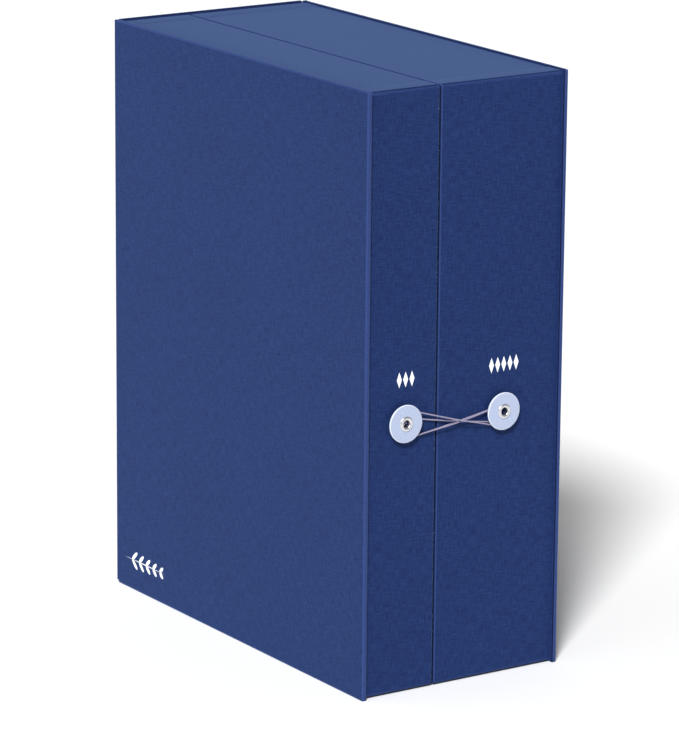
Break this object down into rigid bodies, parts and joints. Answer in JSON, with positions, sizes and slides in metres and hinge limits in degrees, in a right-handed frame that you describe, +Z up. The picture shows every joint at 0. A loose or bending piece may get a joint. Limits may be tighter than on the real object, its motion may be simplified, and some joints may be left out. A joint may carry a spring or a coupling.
{
  "type": "archival box",
  "caption": "Upright cloth-covered box that opens like a book on its spine: shallow tray with a file pocket, deep tray with drawers, closed by an elastic wound between discs.",
  "frame": {"origin": "middle of the box's footprint, on the surface it stands on", "axes": "+Z up; -Y is the fore edge with the disc closure, +Y the spine; -X the shallow tray, +X the deep tray"},
  "size_m": [0.127, 0.2567, 0.3271],
  "materials": {
    "book_cloth": "matt woven book cloth over board",
    "lining_paper": "smooth uncoated lining paper",
    "drawer_card": "paper-covered card",
    "shelf_card": "paper-covered card",
    "folder_card": "uncoated folder card",
    "ribbon": "woven ribbon",
    "disc_fibre": "pressed fibre, painted",
    "spacer_fibre": "pressed fibre",
    "eyelet_metal": "nickel plated",
    "elastic": "braided elastic",
    "stamping_foil": "hot-stamped white foil"
  },
  "bodies": {
    "drawer_1": {"drawer_1": "drawer_card", "drawer_pull_1": "ribbon"},
    "drawer_2": {"drawer_2": "drawer_card", "drawer_pull_2": "ribbon"},
    "drawer_3": {"drawer_3": "drawer_card", "drawer_pull_3": "ribbon"},
    "drawer_4": {"drawer_4": "drawer_card", "drawer_pull_4": "ribbon"},
    "drawer_5": {"drawer_5": "drawer_card", "drawer_pull_5": "ribbon"},
    "drawer_6": {"drawer_6": "drawer_card", "drawer_pull_6": "ribbon"},
    "drawer_half": {"drawer_divider_1": "shelf_card", "drawer_divider_2": "shelf_card", "drawer_shelf_1": "shelf_card", "drawer_shelf_2": "shelf_card", "drawer_shelf_3": "shelf_card", "right_closure_disc": "disc_fibre", "right_cover_board": "book_cloth", "right_disc_spacer": "spacer_fibre", "right_eyelet": "eyelet_metal", "right_eyelet_washer": "eyelet_metal", "right_tray_bottom_wall": "book_cloth", "right_tray_front_wall": "book_cloth", "right_tray_lining": "lining_paper", "right_tray_rear_wall": "book_cloth", "right_tray_top_wall": "book_cloth"},
    "file_half": {"elastic_cord": "elastic", "elastic_knot": "elastic", "file_pocket_panel": "book_cloth", "left_closure_disc": "disc_fibre", "left_cover_board": "book_cloth", "left_disc_spacer": "spacer_fibre", "left_eyelet": "eyelet_metal", "left_eyelet_washer": "eyelet_metal", "left_tray_bottom_wall": "book_cloth", "left_tray_front_wall": "book_cloth", "left_tray_lining": "lining_paper", "left_tray_rear_wall": "book_cloth", "left_tray_top_wall": "book_cloth"},
    "file_folder_1": {"file_folder_1": "folder_card"},
    "file_folder_2": {"file_folder_2": "folder_card"},
    "file_folder_3": {"file_folder_3": "folder_card"},
    "file_folder_4": {"file_folder_4": "folder_card"},
    "spine": {"left_hinge_cloth": "book_cloth", "right_hinge_cloth": "book_cloth", "spine_board": "book_cloth", "spine_lining": "lining_paper"}
  },
  "joints": [
    {"name": "spine_hinge", "type": "hinge", "parent": "drawer_half", "child": "spine", "pos_m": [0.062, 0.1268, 0.16], "axis": [0, 0, -1], "range_deg": [0, 90], "deforming": ["elastic_cord"]},
    {"name": "left_hinge", "type": "hinge", "parent": "spine", "child": "file_half", "pos_m": [-0.062, 0.1268, 0.16], "axis": [0, 0, -1], "range_deg": [0, 90]},
    {"name": "drawer_1_slide", "type": "slide", "parent": "drawer_half", "child": "drawer_1", "axis": [-1, 0, 0], "range_m": [0, 0.06]},
    {"name": "drawer_2_slide", "type": "slide", "parent": "drawer_half", "child": "drawer_2", "axis": [-1, 0, 0], "range_m": [0, 0.06]},
    {"name": "drawer_3_slide", "type": "slide", "parent": "drawer_half", "child": "drawer_3", "axis": [-1, 0, 0], "range_m": [0, 0.06]},
    {"name": "drawer_4_slide", "type": "slide", "parent": "drawer_half", "child": "drawer_4", "axis": [-1, 0, 0], "range_m": [0, 0.06]},
    {"name": "drawer_5_slide", "type": "slide", "parent": "drawer_half", "child": "drawer_5", "axis": [-1, 0, 0], "range_m": [0, 0.06]},
    {"name": "drawer_6_slide", "type": "slide", "parent": "drawer_half", "child": "drawer_6", "axis": [-1, 0, 0], "range_m": [0, 0.06]},
    {"name": "folder_1_lean", "type": "hinge", "parent": "file_half", "child": "file_folder_1", "pos_m": [-0.04424, 0, 0.003], "axis": [0, 1, 0], "range_deg": [0, 6]},
    {"name": "folder_2_lean", "type": "hinge", "parent": "file_half", "child": "file_folder_2", "pos_m": [-0.04784, 0, 0.003], "axis": [0, 1, 0], "range_deg": [0, 4.5]},
    {"name": "folder_3_lean", "type": "hinge", "parent": "file_half", "child": "file_folder_3", "pos_m": [-0.05144, 0, 0.003], "axis": [0, 1, 0], "range_deg": [0, 3]},
    {"name": "folder_4_lean", "type": "hinge", "parent": "file_half", "child": "file_folder_4", "pos_m": [-0.05504, 0, 0.003], "axis": [0, 1, 0], "range_deg": [0, 1.5]}
  ],
  "couplings": [
    {"joint": "left_hinge", "follows": "spine_hinge", "ratio": 1},
    {"joint": "drawer_1_slide", "follows": "spine_hinge", "m_per_rad": 0.03819},
    {"joint": "drawer_2_slide", "follows": "spine_hinge", "m_per_rad": 0.03819},
    {"joint": "drawer_3_slide", "follows": "spine_hinge", "m_per_rad": 0.03819},
    {"joint": "drawer_4_slide", "follows": "spine_hinge", "m_per_rad": 0.03819},
    {"joint": "drawer_5_slide", "follows": "spine_hinge", "m_per_rad": 0.03819},
    {"joint": "drawer_6_slide", "follows": "spine_hinge", "m_per_rad": 0.03819},
    {"joint": "folder_1_lean", "follows": "spine_hinge", "ratio": 0.066666},
    {"joint": "folder_2_lean", "follows": "spine_hinge", "ratio": 0.049999},
    {"joint": "folder_3_lean", "follows": "spine_hinge", "ratio": 0.033332},
    {"joint": "folder_4_lean", "follows": "spine_hinge", "ratio": 0.016666}
  ]
}
